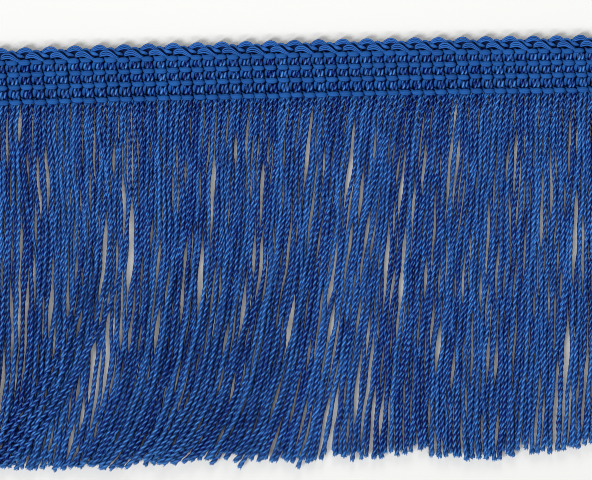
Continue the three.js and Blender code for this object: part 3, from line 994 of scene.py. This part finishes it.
# A cut end shows this much of its brushed colour, which is this share of the bright one.
BRUSHED = 0.6
BRUSHED_SHARE = 0.5
GLOSS_TINT = (0.15, 0.45, 1.0, 1)


def value_of(tree, name, output="Fac"):
    """One of the point values that the meshes carry."""
    return add_node(tree, "ShaderNodeAttribute", attribute_name=name).outputs[output]


def brightness(tree, lay, grain):
    """The share of the light colour: from 0 in the yarn's grooves, which are in painted shade, to 1 on its
    crowns, which carry a painted highlight, with a tone that changes from strand to strand."""
    cloud = add_node(tree, "ShaderNodeTexNoise", {
        "Vector": lay, "Scale": CLOUD_SCALE, "Detail": 2.0,
    }).outputs["Fac"]
    toned = add_node(tree, "ShaderNodeMath", {0: cloud, 1: value_of(tree, "tone")}, operation="ADD")
    lined = add_node(tree, "ShaderNodeMath", {0: toned.outputs["Value"], 1: grain}, operation="ADD")
    toned_and_lit = add_node(tree, "ShaderNodeMath", {
        0: value_of(tree, "crown"), 1: PAINTED_LIGHT_WEIGHT, 2: lined.outputs["Value"],
    }, operation="MULTIPLY_ADD")
    return add_node(tree, "ShaderNodeMapRange", {
        "Value": toned_and_lit.outputs["Value"], "From Min": DARK_AND_SHADED_UP_TO, "From Max": LIGHT_AND_LIT_FROM,
    }).outputs["Result"]


def yarn_finish(name, dark_and_shaded, light_and_lit, roughness, gloss):
    """Rayon yarn: dark with painted shade in its grooves and light with a painted highlight on its crowns,
    with fine filaments along the ply and cut ends of one plain tone."""
    material = bpy.data.materials.new(name)
    material.use_nodes = True
    tree = material.node_tree
    lay = value_of(tree, "lay", "Vector")
    drawn_out = add_node(tree, "ShaderNodeMapping", {"Vector": lay, "Scale": GRAIN})
    grain = add_node(tree, "ShaderNodeTexNoise", {
        "Vector": drawn_out.outputs["Vector"], "Scale": 1.0, "Detail": 2.0, "Roughness": 0.6,
    }).outputs["Fac"]
    body = mix_colours(tree, brightness(tree, lay, grain), (*dark_and_shaded, 1), (*light_and_lit, 1))
    end_share = add_node(tree, "ShaderNodeMath", {
        0: value_of(tree, "worn"), 1: BRUSHED,
    }, operation="MULTIPLY")
    brushed = tuple(BRUSHED_SHARE * value for value in light_and_lit)
    colour = mix_colours(tree, end_share.outputs["Value"], body, (*brushed, 1))
    bump = add_node(tree, "ShaderNodeBump", {
        "Height": grain, "Strength": GRAIN_STRENGTH, "Distance": GRAIN_DEPTH,
    })
    shader = tree.nodes["Principled BSDF"]
    tree.links.new(colour, shader.inputs["Base Color"])
    tree.links.new(bump.outputs["Normal"], shader.inputs["Normal"])
    shader.inputs["Roughness"].default_value = roughness
    shader.inputs["Specular IOR Level"].default_value = gloss
    shader.inputs["Specular Tint"].default_value = GLOSS_TINT
    return material


def dress(piece, finish, node):
    """A finished piece: its finish, the material slot it stands under and the solid it replaces."""
    piece.data.materials.append(finish)
    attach(piece, "root")
    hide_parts(node)
    return piece


def dress_front(piece, finish):
    return dress(piece, finish, "fringe_front")


def dress_back(piece, finish):
    return dress(piece, finish, "fringe_back")


def make_fringe(front_finish, back_finish):
    """Three pieces of upper cords, one of lower ones and the tufts at the ends of both."""
    front = make_strands(FRONT)
    back = make_strands(BACK)
    places = ("left", "middle", "right")
    pieces = []
    for place, chosen in zip(places, np.array_split(np.arange(FRONT["cords"]), len(places))):
        cords = skirt_piece("fringe_front_" + place, pick(front, chosen), front_line)
        pieces.append(dress_front(cords, front_finish))
    pieces.append(dress_back(skirt_piece("fringe_back_cords", back, back_line), back_finish))
    front_ends = swept_piece("fringe_front_ends", [tuft_group(front, front_line)])
    pieces.append(dress_front(front_ends, front_finish))
    back_ends = swept_piece("fringe_back_ends", [tuft_group(back, back_line)])
    pieces.append(dress_back(back_ends, back_finish))
    return pieces


def make_heading(yarn_look, loop_look, ground_shade_look):
    """The ground cloth, and the pieces that it carries."""
    cloth = dress(ground_cloth(), ground_shade_look, "heading")
    bars = dress(swept_piece("stitch_bars", bar_groups()), yarn_look, "heading")
    hooks = dress(swept_piece("stitch_hooks", hook_groups()), yarn_look, "heading")
    chains = dress(back_chains(), ground_shade_look, "heading")
    loops = dress(swept_piece("scallop_loops", loop_groups()), loop_look, "scallop_edge")
    return cloth, [bars, hooks, chains, loops]


# Camera, floor and light

# The view is centred on this place of the trim, at the height of its cords, and turned by VIEW_ROLL
# degrees. It is as wide as VIEW_WIDTH there.
VIEW_CENTRE = (-1.38, -48.57)
VIEW_HEIGHT = 2
VIEW_WIDTH = 143.6
VIEW_ROLL = -1.27
LENS = 250
SENSOR = 36
CLIP = (0.01, 10)

# The floor, in metres, lies just under the trim.
FLOOR_HALF = 3.0
FLOOR_DROP = 0.0001
PAPER = (0.86, 0.86, 0.84, 1)
PAPER_ROUGHNESS = 0.9
PAPER_GLOSS = 0.1

# Width and height of each light, its power and where it stands, in metres. All aim at the trim's middle.
LIGHTS = {
    "key": ((0.5, 2.6), 74, (-2.0, -1.3, 2.3)),
    "low": ((3.0, 0.4), 30, (0.3, -2.1, 2.3)),
    "fill": ((0.2, 0.2), 0.52, (0.03, 0.34, 0.3)),
}
SKY_STRENGTH = 0.31
PIXEL_FILTER = 0.9


def make_camera():
    camera = bpy.data.objects.new("camera", bpy.data.cameras.new("camera"))
    bpy.context.scene.collection.objects.link(camera)
    camera.data.lens = LENS
    camera.data.sensor_width = SENSOR
    camera.data.clip_start, camera.data.clip_end = CLIP
    distance = LENS / SENSOR * VIEW_WIDTH
    camera.location = Vector(ORIGIN) + Vector((*VIEW_CENTRE, distance + VIEW_HEIGHT)) * MM
    camera.rotation_euler = (0, 0, math.radians(VIEW_ROLL))
    bpy.context.scene.camera = camera


def make_floor():
    half = FLOOR_HALF
    mesh = bpy.data.meshes.new("floor")
    corners = [(-half, -half, 0), (half, -half, 0), (half, half, 0), (-half, half, 0)]
    mesh.from_pydata(corners, [], [(0, 1, 2, 3)])
    floor = bpy.data.objects.new("floor", mesh)
    floor.location.z = -FLOOR_DROP
    bpy.context.scene.collection.objects.link(floor)
    material = bpy.data.materials.new("floor")
    material.use_nodes = True
    shader = material.node_tree.nodes["Principled BSDF"]
    shader.inputs["Base Color"].default_value = PAPER
    shader.inputs["Roughness"].default_value = PAPER_ROUGHNESS
    shader.inputs["Specular IOR Level"].default_value = PAPER_GLOSS
    mesh.materials.append(material)


def area_light(name, size, energy, place):
    light = bpy.data.objects.new(name, bpy.data.lights.new(name, "AREA"))
    light.data.shape = "RECTANGLE"
    light.data.size, light.data.size_y = size
    light.data.energy = energy
    light.location = place
    light.rotation_euler = (-Vector(place)).to_track_quat("-Z", "Y").to_euler()
    bpy.context.scene.collection.objects.link(light)


def make_light():
    scene = bpy.context.scene
    scene.view_settings.view_transform = "Standard"
    scene.cycles.filter_width = PIXEL_FILTER
    world = bpy.data.worlds.new("studio")
    world.use_nodes = True
    world.node_tree.nodes["Background"].inputs["Color"].default_value = (1, 1, 1, 1)
    world.node_tree.nodes["Background"].inputs["Strength"].default_value = SKY_STRENGTH
    scene.world = world
    for name, (size, energy, place) in LIGHTS.items():
        area_light(name, size, energy, place)


# The dark and the light colour of each yarn: the dark one for its dark tone and the painted shade in its
# grooves and under it, the light one for its light tone and the painted highlight on its crowns
HEADING_COLOURS = ((0.008, 0.033, 0.16), (0.018, 0.107, 0.375))
LOOP_COLOURS = ((0.006, 0.02, 0.11), (0.034, 0.16, 0.54))
# The ground yarn, which the chains down the back share, is darker than the stitches: painted shade under the
# stitches and in the holes between them.
GROUND_SHADE_COLOURS = ((0.006, 0.015, 0.08), (0.012, 0.03, 0.15))
CORD_COLOURS = ((0.004, 0.007, 0.125), (0.08, 0.31, 0.81))

yarn = yarn_finish("heading_yarn", *HEADING_COLOURS, roughness=0.6, gloss=0.3)
loop = yarn_finish("loop_yarn", *LOOP_COLOURS, roughness=0.55, gloss=0.3)
ground_shade = yarn_finish("ground_yarn_shaded", *GROUND_SHADE_COLOURS, roughness=0.6, gloss=0.5)
front_cord = yarn_finish("fringe_yarn", *CORD_COLOURS, roughness=0.4, gloss=0.65)
back_cord = yarn_finish("fringe_yarn_under", *CORD_COLOURS, roughness=0.4, gloss=0.65)

fringe = make_fringe(front_cord, back_cord)
cloth, stitches = make_heading(yarn, loop, ground_shade)
# The ground's flat size is the trim's length by the depth of the heading without its loops.
make_floor()
make_camera()
make_light()
